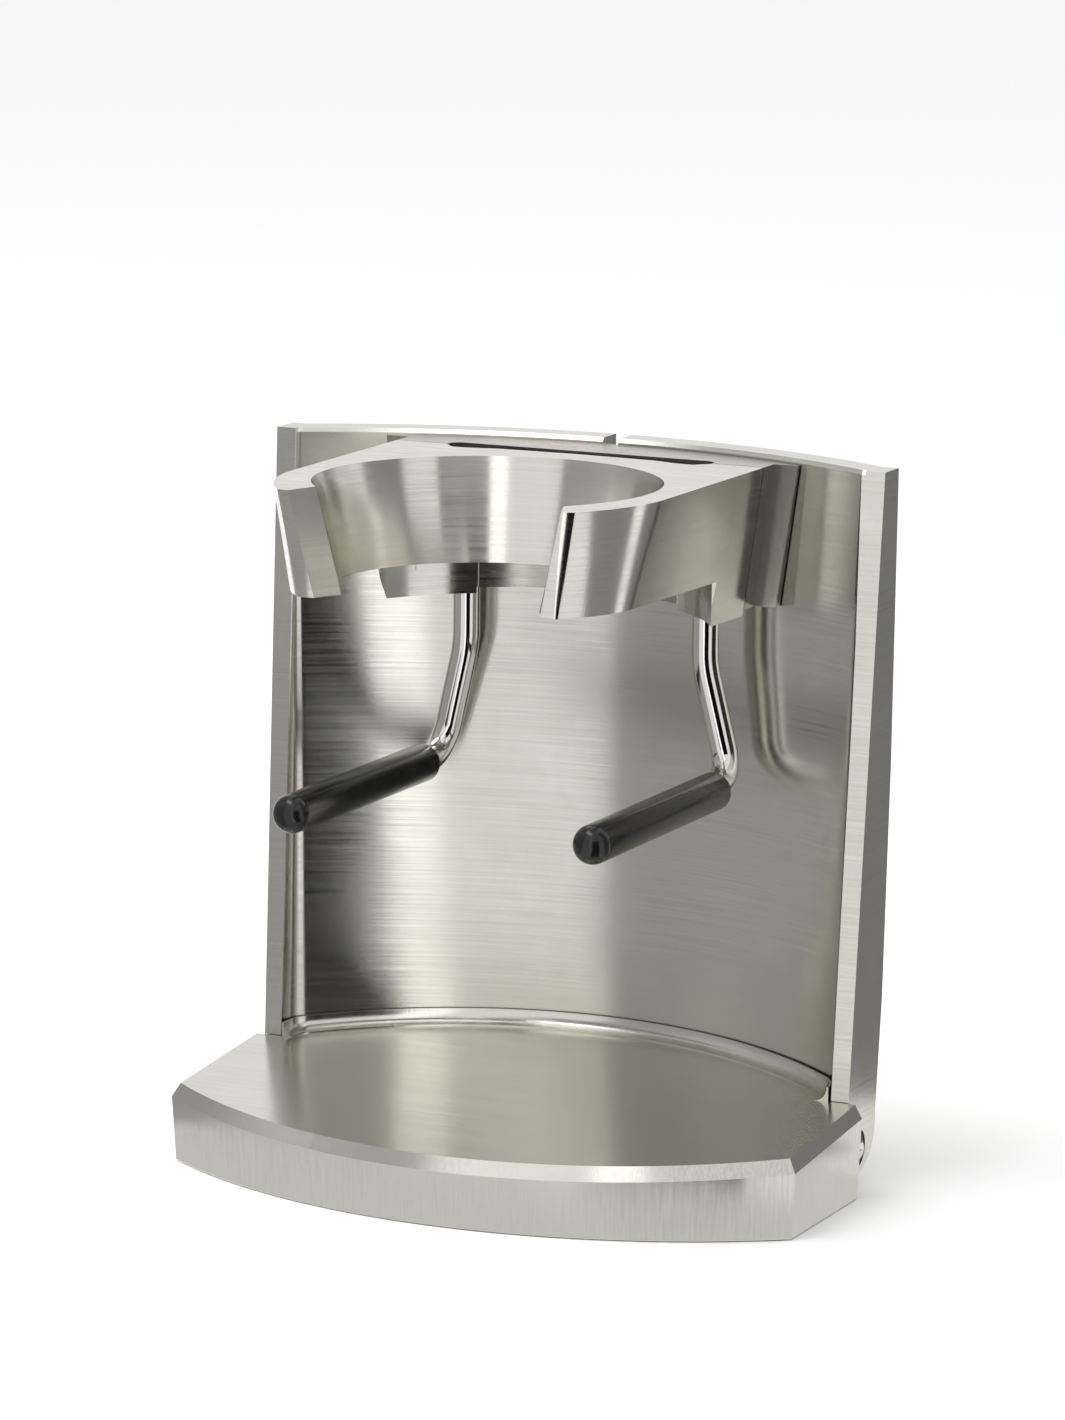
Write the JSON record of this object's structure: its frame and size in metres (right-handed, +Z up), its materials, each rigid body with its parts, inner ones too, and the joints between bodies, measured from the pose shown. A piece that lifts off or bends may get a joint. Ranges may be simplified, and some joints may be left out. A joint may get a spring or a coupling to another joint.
{
  "type": "shaving mug stand",
  "caption": "Countertop stand with a bow-front base, a tilting concave back, an open ring yoke and sleeved support arms.",
  "frame": {"origin": "centre of the bounding box's underside, on the counter", "axes": "+X to the right seen from the front, +Y to the back, +Z up"},
  "size_m": [0.16, 0.1114, 0.17],
  "materials": {
    "brushed_steel": "fine brushed",
    "polished_steel": "polished",
    "dark_steel": "black oxide",
    "sleeve_rubber": "gloss black",
    "pad_rubber": "matt black",
    "bush_metal": "dark satin"
  },
  "bodies": {
    "base": {"base_casting": "brushed_steel", "base_pad": "pad_rubber", "pivot_pin_left": "polished_steel", "pivot_pin_right": "polished_steel"},
    "back": {"back_shell": "brushed_steel", "mounting_block": "brushed_steel", "yoke_ring": "brushed_steel", "pivot_bush_left": "bush_metal", "arm_left": "polished_steel", "sleeve_left": "sleeve_rubber", "cap_screw_left_low": "dark_steel", "cap_screw_left_high": "dark_steel", "dowel_left": "dark_steel", "grub_screw_left": "dark_steel", "pivot_bush_right": "bush_metal", "arm_right": "polished_steel", "sleeve_right": "sleeve_rubber", "cap_screw_right_low": "dark_steel", "cap_screw_right_high": "dark_steel", "dowel_right": "dark_steel", "grub_screw_right": "dark_steel"}
  },
  "joints": [
    {"name": "back_tilt", "type": "hinge", "parent": "base", "child": "back", "pos_m": [0, 0.02364, 0.0102], "axis": [-1, 0, 0], "range_deg": [0, 20]}
  ]
}
